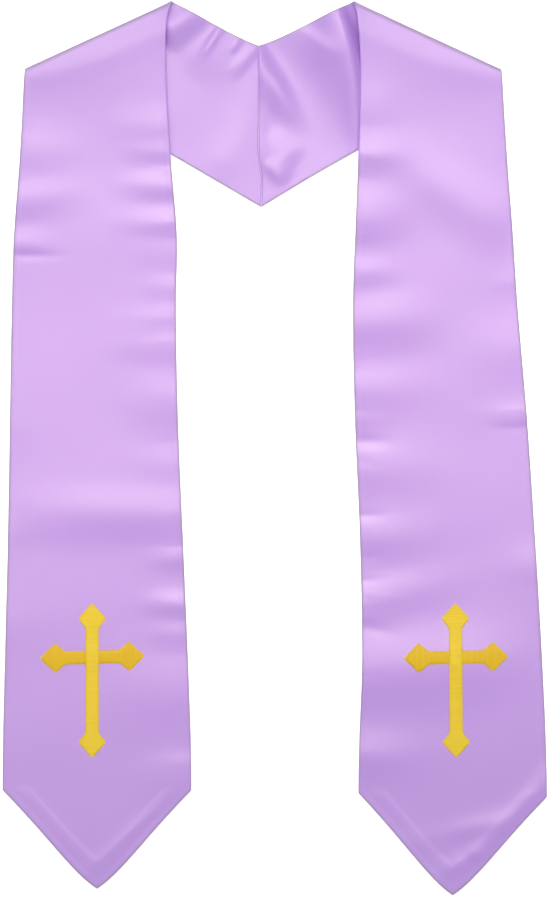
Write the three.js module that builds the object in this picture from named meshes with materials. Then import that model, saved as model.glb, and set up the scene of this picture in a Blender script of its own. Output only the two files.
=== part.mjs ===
// A V-neck choir stole in self-lined satin, laid out flat on a surface.
//
// Each half is one long strip, bagged out from a face and a lining. It starts at the centre back
// seam, lies face down as the back yoke, rolls over at the shoulder, and runs down face up to a
// pointed end with an embroidered cross.
//
// Millimetres. +X is to the right, +Y towards the neck, +Z up. The surface is at z = 0.

import * as THREE from "three";

// ---------------------------------------------------------------- driving dimensions

const LENGTH = 789; // from the shoulder folds to the lower tip
const CLOTH = 1.0; // wall of the face, and of the lining
const PLY_GAP = 0.3; // between face and lining, and across the centre back seam
const HALF_STACK = CLOTH + PLY_GAP / 2; // from the middle of the strip to its outer side
const ROLL_RADIUS = 5; // of the soft shoulder fold, at the middle of the strip
const ROLL_FADE = 58; // the front has settled this far from the shoulder fold
const OVER_YOKE = 2 * HALF_STACK + 1.2; // how far the front is held up by the yoke under it
const YOKE_FADE = 45; // the front is back on the surface this far past the yoke
const POINT_BULGE = 0.4; // how full the sides of the pointed end are

const COLUMNS = 10; // across the strip, even, so that one column ends in the tip
const YOKE_ROWS = 7;
const ROLL_ROWS = 4; // from the edge of the fold to its top, and to its underside
const FRONT_ROWS = 40;
const CHEVRON_FROM = 0.7; // share of the front where the rows start to bend to the point

const EMBROIDERY = { gap: 0.3, edge: 0.5, middle: 1.1, bar: 5.5, headLength: 21.5, headAt: 12.9 };
const CROSS = { length: 135, span: 91, crossing: 47, uprightHead: 11.8, armHead: 12.8 };
const BRIDGE_RUN = 5; // the upright climbs over the arms in this length
const SEAT_SPREAD = [-3, 0, 3]; // stitches rest on the highest cloth this far around them

const SATIN = { color: 0xd5adee, roughness: 0.38, metalness: 0 };
const GOLD_THREAD = { color: 0xecba32, roughness: 0.5, metalness: 0 };

// The centre back seam, which the two halves share. "down" is the distance below the folds.
const SEAM = { top: { x: -14.1, down: 39.4 }, bottom: { x: -12.0, down: 181.4 } };

// One row in "outline" is one section of the front: "inner" and "outer" are the distances of its
// edges from the middle line. One row in "folds" is one soft ridge of the front, from one end to
// the other: "near" and "far" are distances from the middle line, "width" is to its foot on each
// side, and "rise" is its height. "yokeFolds" holds the ridges of the back yoke in the same way.
const LEFT = {
  name: "left",
  side: -1,
  neckCorner: { out: 90.9, down: 0 },
  shoulderCorner: { out: 220.6, down: 59.6 },
  innerCorner: 696,
  outerCorner: 696,
  point: 87,
  neckDip: 1.4,
  hemDip: 0,
  cross: { out: 161.3, top: 531.6, lean: 0, tilt: 1.2 },
  outline: [
    { down: 0, inner: 90.9, outer: 218.0 },
    { down: 11, inner: 94.3, outer: 218.4 },
    { down: 52, inner: 96.2, outer: 220.4 },
    { down: 140, inner: 91.8, outer: 225.1 },
    { down: 210, inner: 86.5, outer: 230.4 },
    { down: 264, inner: 87.4, outer: 232.1 },
    { down: 369, inner: 85.6, outer: 233.9 },
    { down: 475, inner: 81.2, outer: 235.7 },
    { down: 581, inner: 76.8, outer: 238.3 },
    { down: 661, inner: 74.1, outer: 240.1 },
    { down: 790, inner: 74.1, outer: 240.1 },
  ],
  folds: [
    { near: 85, nearDown: 119, far: 135, farDown: 122, width: 24, rise: 1.8 },
    { near: 190, nearDown: 134, far: 225, farDown: 126, width: 24, rise: 1.6 },
    { near: 82, nearDown: 164, far: 130, farDown: 166, width: 16, rise: 1.5 },
    { near: 80, nearDown: 208, far: 150, farDown: 212, width: 32, rise: 2.4 },
    { near: 175, nearDown: 248, far: 235, farDown: 242, width: 26, rise: 1.6 },
    { near: 80, nearDown: 292, far: 190, farDown: 288, width: 34, rise: 2.0 },
    { near: 80, nearDown: 356, far: 140, farDown: 360, width: 30, rise: 1.8 },
    { near: 78, nearDown: 455, far: 235, farDown: 452, width: 38, rise: 3.8 },
    { near: 95, nearDown: 532, far: 215, farDown: 530, width: 30, rise: 0.9 },
  ],
  yokeFolds: [
    { near: 46, nearDown: 32, far: 80, farDown: 80, width: 15, rise: 2.4 },
    { near: 30, nearDown: 38, far: 50, farDown: 118, width: 14, rise: 2.6 },
    { near: 18, nearDown: 60, far: 26, farDown: 150, width: 11, rise: 1.8 },
  ],
};

const RIGHT = {
  name: "right",
  side: 1,
  neckCorner: { out: 69.3, down: 0 },
  shoulderCorner: { out: 199.9, down: 60.3 },
  innerCorner: 698.5,
  outerCorner: 702,
  point: 88.5,
  neckDip: 1.4,
  hemDip: -1.8,
  cross: { out: 159.5, top: 531.6, lean: 0.5, tilt: 0.8 },
  outline: [
    { down: 0, inner: 69.3, outer: 197.4 },
    { down: 11, inner: 71.9, outer: 198.0 },
    { down: 52, inner: 75.0, outer: 199.5 },
    { down: 140, inner: 73.3, outer: 204.8 },
    { down: 210, inner: 70.6, outer: 210.1 },
    { down: 264, inner: 68.8, outer: 213.6 },
    { down: 369, inner: 70.6, outer: 222.4 },
    { down: 475, inner: 75.0, outer: 229.5 },
    { down: 581, inner: 76.8, outer: 235.7 },
    { down: 661, inner: 74.1, outer: 239.2 },
    { down: 790, inner: 73.0, outer: 240.5 },
  ],
  folds: [
    { near: 70, nearDown: 146, far: 215, farDown: 196, width: 28, rise: 1.8 },
    { near: 66, nearDown: 192, far: 135, farDown: 198, width: 28, rise: 2.0 },
    { near: 64, nearDown: 283, far: 160, farDown: 286, width: 32, rise: 2.2 },
    { near: 66, nearDown: 339, far: 150, farDown: 346, width: 28, rise: 1.7 },
    { near: 70, nearDown: 405, far: 228, farDown: 392, width: 34, rise: 2.0 },
    { near: 72, nearDown: 503, far: 150, farDown: 500, width: 36, rise: 1.6 },
    { near: 76, nearDown: 588, far: 238, farDown: 592, width: 36, rise: 2.8 },
    { near: 74, nearDown: 657, far: 130, farDown: 665, width: 18, rise: 1.2 },
  ],
  yokeFolds: [
    { near: -4, nearDown: 36, far: 38, farDown: 104, width: 16, rise: 2.8 },
    { near: 16, nearDown: 28, far: 62, farDown: 56, width: 14, rise: 2.2 },
    { near: -2, nearDown: 92, far: 30, farDown: 140, width: 15, rise: 2.0 },
  ],
};

// ---------------------------------------------------------------- small helpers

const { lerp, smoothstep, clamp } = THREE.MathUtils;

/** A point of the plan: x, and the distance below the shoulder folds. */
const plan = (x, down) => new THREE.Vector2(x, down);

/** A smooth column of a table, read at any distance down. */
function tableColumn(rows, column) {
  const at = rows.map((row) => row.down);
  const values = rows.map((row) => row[column]);
  const curve = new THREE.CubicInterpolant(at, values, 1, new Float32Array(1));
  return (down) => curve.evaluate(clamp(down, at[0], at.at(-1)))[0];
}

/** The height of one soft ridge at a point: full along its line, and nothing past its foot. */
function ridgeHeight(point, { from, to, width, rise }) {
  const along = to.clone().sub(from);
  const share = clamp(point.clone().sub(from).dot(along) / along.lengthSq(), 0, 1);
  const distance = from.clone().addScaledVector(along, share).distanceTo(point);
  const inside = Math.max(0, 1 - (distance / width) ** 2);
  return rise * inside * inside;
}

/** The ridges of a table as lines in the plan of one half. */
function ridgesOf(table, side) {
  return table.map(({ near, nearDown, far, farDown, width, rise }) => ({
    from: plan(side * near, nearDown),
    to: plan(side * far, farDown),
    width,
    rise,
  }));
}

/** A closed wall between two grids of points, its upper side on the left of rows and columns. */
function closedWall(lower, upper, turned) {
  const rows = lower.length;
  const columns = lower[0].length;
  const layer = rows * columns;
  const positions = [...lower, ...upper].flat().flatMap((point) => point.toArray());
  const faces = [];
  const quad = (a, b, c, d) => {
    const corners = turned ? [a, c, b, a, d, c] : [a, b, c, a, c, d];
    faces.push(...corners);
  };
  const at = (row, column) => row * columns + column;
  for (let row = 0; row + 1 < rows; row += 1) {
    for (let column = 0; column + 1 < columns; column += 1) {
      const a = at(row, column);
      const b = at(row + 1, column);
      const c = at(row + 1, column + 1);
      const d = at(row, column + 1);
      quad(a + layer, b + layer, c + layer, d + layer);
      quad(a, d, c, b);
    }
  }
  const side = (a, b) => quad(a, b, b + layer, a + layer);
  for (let row = 0; row + 1 < rows; row += 1) {
    side(at(row, 0), at(row + 1, 0));
    side(at(row + 1, columns - 1), at(row, columns - 1));
  }
  for (let column = 0; column + 1 < columns; column += 1) {
    side(at(0, column + 1), at(0, column));
    side(at(rows - 1, column), at(rows - 1, column + 1));
  }
  const geometry = new THREE.BufferGeometry();
  geometry.setAttribute("position", new THREE.Float32BufferAttribute(positions, 3));
  geometry.setIndex(faces);
  return geometry;
}

function namedMesh(name, geometry, finish) {
  const mesh = new THREE.Mesh(geometry, new THREE.MeshStandardMaterial(finish));
  mesh.name = name;
  return mesh;
}

// ---------------------------------------------------------------- one half of the stole

/** The laid strip of one half: its plan, its height, and its grid from the seam to the tip. */
class Strip {
  constructor(half) {
    this.half = half;
    this.inner = tableColumn(half.outline, "inner");
    this.outer = tableColumn(half.outline, "outer");
    this.folds = ridgesOf(half.folds, half.side);
    this.yokeFolds = ridgesOf(half.yokeFolds, half.side);
    const { neckCorner, shoulderCorner, side } = half;
    const neck = plan(side * neckCorner.out, neckCorner.down);
    const shoulder = plan(side * shoulderCorner.out, shoulderCorner.down);
    const fold = shoulder.clone().sub(neck).normalize();
    this.across = plan(-fold.y * side, fold.x * side); // square to the fold, towards the front
    this.neck = neck.addScaledVector(this.across, HALF_STACK);
    this.shoulder = shoulder.addScaledVector(this.across, HALF_STACK);
    const gap = (side * PLY_GAP) / 2;
    this.seamTop = plan(SEAM.top.x + gap, SEAM.top.down);
    this.seamBottom = plan(SEAM.bottom.x + gap, SEAM.bottom.down);
    const hem = this.seamBottom.clone().sub(this.shoulder).normalize();
    this.pastHem = plan(-hem.y, hem.x).multiplyScalar(-side); // square to the yoke's lower edge
  }

  fromFold(point) {
    return point.clone().sub(this.neck).dot(this.across);
  }

  /** The back yoke: share 0 is the shoulder fold, 1 the centre back seam. */
  yokePlan(u, share) {
    const fold = this.neck.clone().lerp(this.shoulder, u);
    const seam = this.seamTop.clone().lerp(this.seamBottom, u);
    const dip = lerp(this.half.neckDip, this.half.hemDip, u) * Math.sin(Math.PI * share * share);
    return fold.lerp(seam, share).add(plan(0, dip));
  }

  /** The front: share 0 is the shoulder fold, 1 the pointed end. */
  frontPlan(u, share) {
    const { side, innerCorner, outerCorner, point, shoulderCorner } = this.half;
    const innerDown = innerCorner * share;
    const outerDown = lerp(shoulderCorner.down, outerCorner, share);
    const innerEdge = plan(side * this.inner(innerDown), innerDown);
    const outerEdge = plan(side * this.outer(outerDown), outerDown);
    const settle = 1 - smoothstep(share, 0, 0.02);
    innerEdge.lerp(this.neck, settle);
    outerEdge.lerp(this.shoulder, settle);
    const tent = 1 - Math.abs(2 * u - 1);
    const full = tent + POINT_BULGE * tent ** 3 * (1 - tent);
    const drop = point * full * smoothstep(share, CHEVRON_FROM, 1);
    return innerEdge.lerp(outerEdge, u).add(plan(0, drop));
  }

  /** How far the roll's surface is above or below its middle, this far in from its edge. */
  rollHeight(distance) {
    return Math.sqrt(Math.max(0, ROLL_RADIUS ** 2 - (ROLL_RADIUS - distance) ** 2));
  }

  yokeHeight(point) {
    const distance = this.fromFold(point);
    const roll = distance < ROLL_RADIUS ? ROLL_RADIUS - this.rollHeight(distance) : 0;
    const ridges = this.yokeFolds.map((fold) => ridgeHeight(point, fold));
    return HALF_STACK + roll + Math.max(...ridges);
  }

  frontHeight(point) {
    const distance = this.fromFold(point);
    if (distance < ROLL_RADIUS) {
      return HALF_STACK + ROLL_RADIUS + this.rollHeight(distance);
    }
    const past = point.clone().sub(this.shoulder).dot(this.pastHem);
    const held = OVER_YOKE * (1 - smoothstep(past, 0, YOKE_FADE));
    const fade = smoothstep(distance, ROLL_RADIUS, ROLL_FADE);
    const ridges = this.folds.map((fold) => ridgeHeight(point, fold));
    return HALF_STACK + lerp(2 * ROLL_RADIUS, held, fade) + fade * Math.max(...ridges);
  }

  /** The rows of one column, as shares, from the fold: first round the roll, then evenly. */
  shares(planAt, u, rowCount) {
    const sample = 0.01;
    const reach = this.fromFold(planAt(u, sample)) / sample;
    const shares = [];
    for (let step = 0; step <= ROLL_ROWS; step += 1) {
      const angle = (step / ROLL_ROWS) * (Math.PI / 2);
      shares.push((ROLL_RADIUS * (1 - Math.cos(angle))) / reach);
    }
    const start = shares.at(-1);
    for (let step = 1; step <= rowCount; step += 1) {
      shares.push(lerp(start, 1, step / rowCount));
    }
    return shares;
  }

  /** The middle of the strip as rows of points, from the seam over the fold to the tip. */
  grid() {
    const columns = [];
    for (let column = 0; column <= COLUMNS; column += 1) {
      const u = column / COLUMNS;
      const yokeAt = (across, share) => this.yokePlan(across, share);
      const frontAt = (across, share) => this.frontPlan(across, share);
      const yoke = this.shares(yokeAt, u, YOKE_ROWS).map((share) => {
        const point = this.yokePlan(u, share);
        return new THREE.Vector3(point.x, -point.y, this.yokeHeight(point));
      });
      const front = this.shares(frontAt, u, FRONT_ROWS).map((share) => {
        const point = this.frontPlan(u, share);
        return new THREE.Vector3(point.x, -point.y, this.frontHeight(point));
      });
      columns.push([...yoke.reverse(), ...front.slice(1)]);
    }
    return columns[0].map((_, row) => columns.map((points) => points[row]));
  }
}

/** Unit normals of a grid of points, towards the face of the strip. */
function gridNormals(grid, turned) {
  const geometry = new THREE.BufferGeometry();
  const columns = grid[0].length;
  const positions = grid.flat().flatMap((point) => point.toArray());
  const faces = [];
  for (let row = 0; row + 1 < grid.length; row += 1) {
    for (let column = 0; column + 1 < columns; column += 1) {
      const a = row * columns + column;
      const b = a + columns;
      const corners = turned ? [a, b + 1, b, a, a + 1, b + 1] : [a, b, b + 1, a, b + 1, a + 1];
      faces.push(...corners);
    }
  }
  geometry.setAttribute("position", new THREE.Float32BufferAttribute(positions, 3));
  geometry.setIndex(faces);
  geometry.computeVertexNormals();
  const normals = geometry.getAttribute("normal");
  return grid.map((points, row) =>
    points.map((_, column) => {
      return new THREE.Vector3().fromBufferAttribute(normals, row * columns + column);
    }),
  );
}

/** The same grid, moved along its normals. */
function movedGrid(grid, normals, distance) {
  return grid.map((points, row) =>
    points.map((point, column) => point.clone().addScaledVector(normals[row][column], distance)),
  );
}

/** Face and lining of one half: two walls on either side of the strip's middle. */
function stripMeshes(half) {
  const turned = half.side < 0;
  const grid = new Strip(half).grid();
  const normals = gridNormals(grid, turned);
  const wall = (from, to) => {
    return closedWall(movedGrid(grid, normals, from), movedGrid(grid, normals, to), turned);
  };
  const inside = PLY_GAP / 2;
  return {
    face: namedMesh(`${half.name}_face`, wall(inside, HALF_STACK), SATIN),
    lining: namedMesh(`${half.name}_lining`, wall(-HALF_STACK, -inside), SATIN),
  };
}

// ---------------------------------------------------------------- embroidered crosses

/** Height of a mesh's upper side at a point of the plan, or nothing where it doesn't reach. */
function topOf(mesh, x, y) {
  const above = new THREE.Vector3(x, y, 100);
  const ray = new THREE.Raycaster(above, new THREE.Vector3(0, 0, -1));
  const hits = ray.intersectObject(mesh);
  return hits.length > 0 ? hits[0].point.z : -Infinity;
}

/** Stations along a bar with a pointed, flared head at each end: distance and half width. */
function barStations(length, headWidth) {
  const { bar, headAt, headLength } = EMBROIDERY;
  const tip = 0.5;
  const head = [
    { at: 0, half: tip },
    { at: headAt / 2, half: (tip + headWidth) / 2 },
    { at: headAt, half: headWidth },
    { at: headLength, half: bar },
  ];
  const far = head.map(({ at, half }) => ({ at: length - at, half })).reverse();
  const stem = length - 2 * headLength;
  const steps = Math.round(stem / BRIDGE_RUN);
  const middle = [];
  for (let step = 1; step < steps; step += 1) {
    middle.push({ at: headLength + (stem * step) / steps, half: bar });
  }
  return [...head, ...middle, ...far];
}

/** One padded bar of satin stitch on what lies under it. */
function embroideredBar(name, from, to, headWidth, carriers) {
  const along = to.clone().sub(from).normalize();
  const across = new THREE.Vector2(-along.y, along.x);
  const widths = [-1, -0.5, 0, 0.5, 1];
  const lower = [];
  const upper = [];
  for (const { at, half } of barStations(from.distanceTo(to), headWidth)) {
    const seats = widths.map((share) => {
      const place = from.clone().addScaledVector(along, at).addScaledVector(across, share * half);
      const seat = carriers(place, along);
      return new THREE.Vector3(place.x, place.y, seat + EMBROIDERY.gap);
    });
    lower.push(seats);
    upper.push(
      seats.map((seat, index) => {
        const pad = lerp(EMBROIDERY.middle, EMBROIDERY.edge, widths[index] ** 2);
        return seat.clone().add(new THREE.Vector3(0, 0, pad));
      }),
    );
  }
  return namedMesh(name, closedWall(lower, upper, false), GOLD_THREAD);
}

/** The arms lie on the face, and the upright on the face and over the arms. */
function crossMeshes(half, face) {
  const { out, top, lean, tilt } = half.cross;
  const centreX = half.side * out;
  const tipX = centreX - half.side * lean;
  const footX = centreX + half.side * lean;
  const armY = -(top + CROSS.crossing);
  const armEnd = (sign) => {
    return new THREE.Vector2(centreX + (sign * CROSS.span) / 2, armY + sign * tilt);
  };
  const onFace = (place) => {
    const around = SEAT_SPREAD.flatMap((dx) => SEAT_SPREAD.map((dy) => [dx, dy]));
    return Math.max(...around.map(([dx, dy]) => topOf(face, place.x + dx, place.y + dy)));
  };
  const bar = embroideredBar(
    `${half.name}_cross_bar`, armEnd(-1), armEnd(1), CROSS.armHead, onFace,
  );
  const bridged = (place, along) => {
    const near = [-1, 0, 1].map((step) => {
      const spot = place.clone().addScaledVector(along, step * BRIDGE_RUN);
      return topOf(bar, spot.x, spot.y);
    });
    return Math.max(onFace(place), ...near);
  };
  const upright = embroideredBar(
    `${half.name}_cross_upright`,
    new THREE.Vector2(tipX, -top),
    new THREE.Vector2(footX, -(top + CROSS.length)),
    CROSS.uprightHead,
    bridged,
  );
  return [bar, upright];
}

// ---------------------------------------------------------------- the whole stole

const group = new THREE.Group();
for (const half of [LEFT, RIGHT]) {
  const { face, lining } = stripMeshes(half);
  group.add(face, lining, ...crossMeshes(half, face));
}

// The origin is under the middle of the laid stole, on the surface.
for (const mesh of group.children) {
  mesh.geometry.translate(0, LENGTH / 2, 0);
}

export default group;
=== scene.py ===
"""A V-neck choir stole in self-lined satin, laid flat, with an embroidered cross near each end.

The satin is modelled as fine shells on the laid strips' form, and the crosses as satin stitch,
thread by thread. Shapes are worked out in millimetres and put into the meshes in metres.
"""

import logging
from dataclasses import dataclass
from enum import Enum
from typing import Any, Callable, Sequence

import bpy
import numpy as np
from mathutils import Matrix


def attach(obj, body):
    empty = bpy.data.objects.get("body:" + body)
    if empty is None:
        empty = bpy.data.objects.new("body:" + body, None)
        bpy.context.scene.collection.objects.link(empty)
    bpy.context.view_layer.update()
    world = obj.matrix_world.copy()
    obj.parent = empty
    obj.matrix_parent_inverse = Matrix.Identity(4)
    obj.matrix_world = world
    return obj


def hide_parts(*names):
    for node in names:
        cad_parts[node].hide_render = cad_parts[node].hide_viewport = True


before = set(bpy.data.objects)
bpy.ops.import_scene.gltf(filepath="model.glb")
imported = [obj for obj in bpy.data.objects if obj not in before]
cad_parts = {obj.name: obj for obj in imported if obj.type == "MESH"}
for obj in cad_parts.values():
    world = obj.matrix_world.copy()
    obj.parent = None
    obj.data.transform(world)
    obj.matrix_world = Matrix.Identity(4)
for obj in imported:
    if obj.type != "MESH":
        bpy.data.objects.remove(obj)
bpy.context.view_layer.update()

Array = np.ndarray
LOG = logging.getLogger("choir_stole")

# ------------------------------------------------------------------ driving sizes, millimetres

MM = 0.001
HALF_LENGTH = 394.5  # from the middle of the laid stole to its shoulder folds
SATIN_STACK = 0.75  # from the middle of the strip to the outer side of its face or lining
PLY_INSIDE = 0.2  # from the middle of the strip to the inner side of a satin shell
SEAM_MEETING = 0.12  # half the gap where face and lining meet at a sewn edge
PRESSED_EDGE = 0.9  # the satin rolls down to the seam over this width
ALLOWANCE_WIDTH = 5.2  # seam allowance inside the long edges, which shows as a faint step
ALLOWANCE_RISE = 0.2
ROLL_RADIUS = ((0.0, 4.0), (0.07, 3.5), (0.2, 3.2), (0.5, 3.15), (0.8, 3.1), (1.0, 3.0))
ROLL_CREST = ((0.0, 20.0), (0.2, 18.0), (0.6, 16.0), (0.85, 9.0), (1.0, 4.0))
ROLL_SLOPE = ((0.0, 26.0), (0.2, 23.0), (0.5, 20.0), (0.8, 16.0), (1.0, 13.5))
LOOP_OPEN = 2.6  # the loop is this much wider at the neck corner, under the front
LOOP_CLOSES = 0.14
ROLL_REACH = 4.0  # the grid's rows round the fold cover this much
ROLL_BULGE = 0.35  # the front swells a little past the roll before it comes down
ROLL_BULGE_WIDTH = 9.0
OVER_YOKE = 2.2
YOKE_FADE = 240.0
POINT_BULGE = 0.4
POINT_SQUARE = 0.68  # across the slanted edge, for one down the front
CHEVRON_FROM = 0.7
HEM_RISE = 0.43
HEM_STEP = 4.5
HEM_CORNER = -1.5
SEAM_GAP = 0.3
SEAM_PATH = (
    (39.4, -14.1),
    (100.0, -14.2),
    (141.0, -14.0),
    (148.5, -12.8),
    (154.0, -11.7),
    (167.0, -11.9),
    (181.4, -12.1),
)  # distance down and across
BED = 0.45  # the fronts lie this loosely on the surface
YOKE_BED = 1.0
FRONT_FULLNESS = 1.5  # the rises in the crease tables are multiplied by these
YOKE_FULLNESS = 1.4
FLOOR_CLEAR = 0.02
CUT_WIDTH = 0.178  # metres, across the widest part of the flat cut
END_ROWS = (0.1, 0.3, 0.65, 1.1, 1.7, 2.6, 3.6)  # distances of the rows nearest a sewn end
YOKE_RUN = 130.0  # about how far the yoke and the front run
FRONT_RUN = 800.0
UNDER_FRONT = (-1.0, 14.0)  # the yoke's creases die out over this much under the front
SEAM_LIP_WIDTH = 2.0
CREST_FULL = 18.0  # the swell past the roll is full where the crest is this far from the fold
DRIFT_RISE = 0.2
PUCKER_SPAN = (70.0, 690.0)
INNER_PUCKERS = (46, 0.34)  # how many, and how high
OUTER_PUCKERS = (26, 0.22)
LEAST_PLY = 0.06  # a satin shell is at least this thick at its seam
EDGE_RIM = (0.5, 2.6)  # painted shade is full up to the first distance, and gone from the second
FOLD_RIM = (0.5, 4.5)
SEAM_RIM = (0.2, 0.9)
# how strong the painted shade is along the centre back seam
SEAM_PAINTED_SHADE = 0.5
OFF_YOKE = (118.0, 150.0)  # the front's inner edge leaves the yoke between these


class Layer(Enum):
    """The two layers of a bagged-out strip, with the side of its middle that each is on."""

    FACE = 1.0
    LINING = -1.0


@dataclass(frozen=True)
class Crease:
    """One soft ridge or trough, from its near end to its far end.

    near and far are distances from the stole's middle line, and the downs are distances below
    the shoulder folds. width is half the ridge's width, rise its height, root the share of the
    height that is there at the near end already, and hold how far along it stays full. back is
    the half width on the right, as one looks along it from the near end, where that differs,
    and bow is how far its middle bends to the left.
    """

    near: float
    near_down: float
    far: float
    far_down: float
    width: float
    rise: float
    root: float = 1.0
    hold: float = 0.1
    back: float = 0.0
    bow: float = 0.0


@dataclass(frozen=True)
class Section:
    """One section of a front: how far its edges are from the middle line."""

    down: float
    inner: float
    outer: float


@dataclass(frozen=True)
class CrossPlace:
    """Where a cross lies: its centre line, its top, and how its bars turn."""

    out: float
    top: float
    lean: float
    tilt: float


@dataclass(frozen=True)
class HalfSizes:
    """The cut and the lie of one half of the stole."""

    name: str
    side: float
    neck_corner: tuple[float, float]
    shoulder_corner: tuple[float, float]
    inner_corner: float
    outer_corner: float
    point: float
    neck_dip: float
    hem_dip: float
    hem_band: float
    seam_lip: float
    cross: CrossPlace
    outline: tuple[Section, ...]
    front_creases: tuple[Crease, ...]
    yoke_creases: tuple[Crease, ...]
    pucker_seed: int


LEFT = HalfSizes(
    name="left",
    side=-1.0,
    neck_corner=(90.9, 0.0),
    shoulder_corner=(220.6, 59.6),
    inner_corner=696.0,
    outer_corner=696.0,
    point=87.0,
    neck_dip=1.4,
    hem_dip=0.0,
    hem_band=16.0,
    seam_lip=0.2,
    cross=CrossPlace(out=161.3, top=531.6, lean=0.0, tilt=1.2),
    outline=(
        Section(0, 90.9, 218.0),
        Section(11, 94.3, 218.4),
        Section(52, 96.2, 220.4),
        Section(140, 91.8, 225.1),
        Section(210, 86.5, 230.4),
        Section(264, 87.4, 232.1),
        Section(369, 85.6, 233.9),
        Section(475, 81.2, 235.7),
        Section(581, 76.8, 238.3),
        Section(661, 74.1, 240.1),
        Section(790, 74.1, 240.1),
    ),
    front_creases=(
        Crease(90, 110, 160, 110, 15, 1.2),
        Crease(90, 133, 150, 131, 10, 1.0),
        Crease(88, 163, 150, 163, 10.6, 1.6),
        Crease(86, 195, 158, 196, 11, 1.15),
        Crease(86, 223, 145, 216, 12, 0.5),
        Crease(86, 252, 130, 250, 10, 0.55),
        Crease(86, 279, 160, 284, 11, 0.65),
        Crease(85, 306, 165, 300, 14, 0.9),
        Crease(84, 350, 160, 352, 25, 1.5),
        Crease(82, 409, 145, 408, 14, 0.7),
        Crease(80, 452, 260, 453, 22.5, 2.05, hold=0.4),
        Crease(80, 492, 128, 492, 10, 0.8),
        Crease(79, 532.6, 132, 531, 11, 1.5),
        Crease(78, 558, 128, 556, 11, 1.0),
        Crease(76, 608, 172, 604, 30, 1.25),
        Crease(75, 671, 120, 671, 8, 0.45),
        Crease(75, 683, 145, 688, 18, 1.1),
        Crease(228, 133, 155, 133, 21, 1.35, root=0.6),
        Crease(230, 176, 150, 164, 16, 1.5),
        Crease(232, 213, 185, 212, 11, 0.9),
        Crease(233, 224.5, 172, 224, 4, -0.55),
        Crease(235, 374, 190, 384, 18, 0.4, hold=0.3),
        Crease(236, 470, 205, 470, 11, 0.35),
        Crease(238, 553, 195, 546, 16, 0.4),
        Crease(157, 759, 88, 696, 5.5, 0.45, root=0.8, hold=0.7),
    ),
    yoke_creases=(
        Crease(62, 4, 104, 32, 15, 4.0, root=0.5, hold=0.7),
        Crease(45, 27, 82, 67, 26, 1.7, root=0.8, hold=0.4, back=11),
        Crease(51, 28, 67, 54, 4, 0.9, hold=0.4),
        Crease(32, 34, 41, 48, 3.5, 0.7, hold=0.4),
        Crease(22, 46, 42, 70, 6, 1.0, hold=0.35),
        Crease(30, 120, 54, 160, 14, 0.8, hold=0.5),
        Crease(14, 48, 14, 170, 9, 0.6, root=0.3, hold=0.6),
    ),
    pucker_seed=11,
)

RIGHT = HalfSizes(
    name="right",
    side=1.0,
    neck_corner=(69.3, 0.0),
    shoulder_corner=(199.9, 60.3),
    inner_corner=698.5,
    outer_corner=702.0,
    point=88.5,
    neck_dip=1.4,
    hem_dip=-1.8,
    hem_band=16.0,
    seam_lip=0.0,
    cross=CrossPlace(out=159.5, top=531.6, lean=0.5, tilt=0.8),
    outline=(
        Section(0, 69.3, 197.4),
        Section(11, 71.9, 198.0),
        Section(52, 75.0, 199.5),
        Section(140, 73.3, 204.8),
        Section(210, 70.6, 210.1),
        Section(264, 68.8, 213.6),
        Section(369, 70.6, 222.4),
        Section(475, 75.0, 229.5),
        Section(581, 76.8, 235.7),
        Section(661, 74.1, 239.2),
        Section(790, 73.0, 240.5),
    ),
    front_creases=(
        Crease(72, 88.7, 128, 88, 20, 1.5),
        Crease(71, 136.4, 130, 135, 13, 1.6),
        Crease(70, 189.3, 140, 186, 27, 2.6),
        Crease(125, 150, 222, 210, 25, 1.9, root=0.6, hold=0.6),
        Crease(67, 240, 125, 236, 13, 1.5),
        Crease(66, 284, 165, 280, 24, 2.2, hold=0.2),
        Crease(67, 342, 155, 338, 20, 1.45),
        Crease(69, 369.4, 115, 364, 9, 0.4),
        Crease(70, 388, 112, 389, 6, -0.9),
        Crease(71, 410, 170, 413, 22, 1.4),
        Crease(73, 454, 104, 454, 4.5, -0.6),
        Crease(74, 473, 170, 470, 18, 1.3),
        Crease(75, 491, 102, 489, 4, -0.5),
        Crease(75, 512, 102, 510, 4, -0.4),
        Crease(76, 532, 200, 498, 18, 1.65),
        Crease(75, 551, 116, 560, 6, -0.6),
        Crease(74, 592.5, 262, 581, 31, 3.1, hold=0.45),
        Crease(74, 664, 150, 667, 19, 2.1),
        Crease(213, 247, 178, 245, 9, 0.35),
        Crease(219, 305, 150, 300, 25, 0.9),
        Crease(226, 364, 165, 368, 12, 0.85),
        Crease(227, 376, 184, 379, 4, -0.6),
        Crease(236, 496, 178, 498, 17, 0.9),
        Crease(157, 733, 224, 718, 9, 1.0, root=0.4, hold=0.5),
        Crease(151, 767, 190, 743, 7, 0.8, root=0.6, hold=0.3),
        Crease(228.6, 698.6, 171, 759.6, 8.5, 1.1, hold=0.85),
    ),
    yoke_creases=(
        Crease(54, 9, 72.4, 131, 7.5, 8.2, root=0.8, hold=0.15, back=25, bow=5.5),
        Crease(69, 60, 74, 145, 5, 1.6, root=0.3, hold=0.5, back=9),
        Crease(20, 26, 60, 54, 9, 2.0, hold=0.5, back=22),
        Crease(-14, 54, 27, 120, 11, 4.2, hold=0.3, back=14),
        Crease(-6, 116, 20, 146, 13, 1.5, root=0.5, hold=0.6),
        Crease(-8, 142, 12, 163, 14, 1.7, root=0.5, hold=0.5, back=6),
        Crease(-14, 48, -14, 170, 7, 1.0, root=0.3, hold=0.6),
    ),
    pucker_seed=23,
)

# ------------------------------------------------------------------ array helpers


def lerp(start: Any, end: Any, share: Any) -> Any:
    """The value at a share of the way from start to end."""
    return start + (end - start) * share


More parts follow.
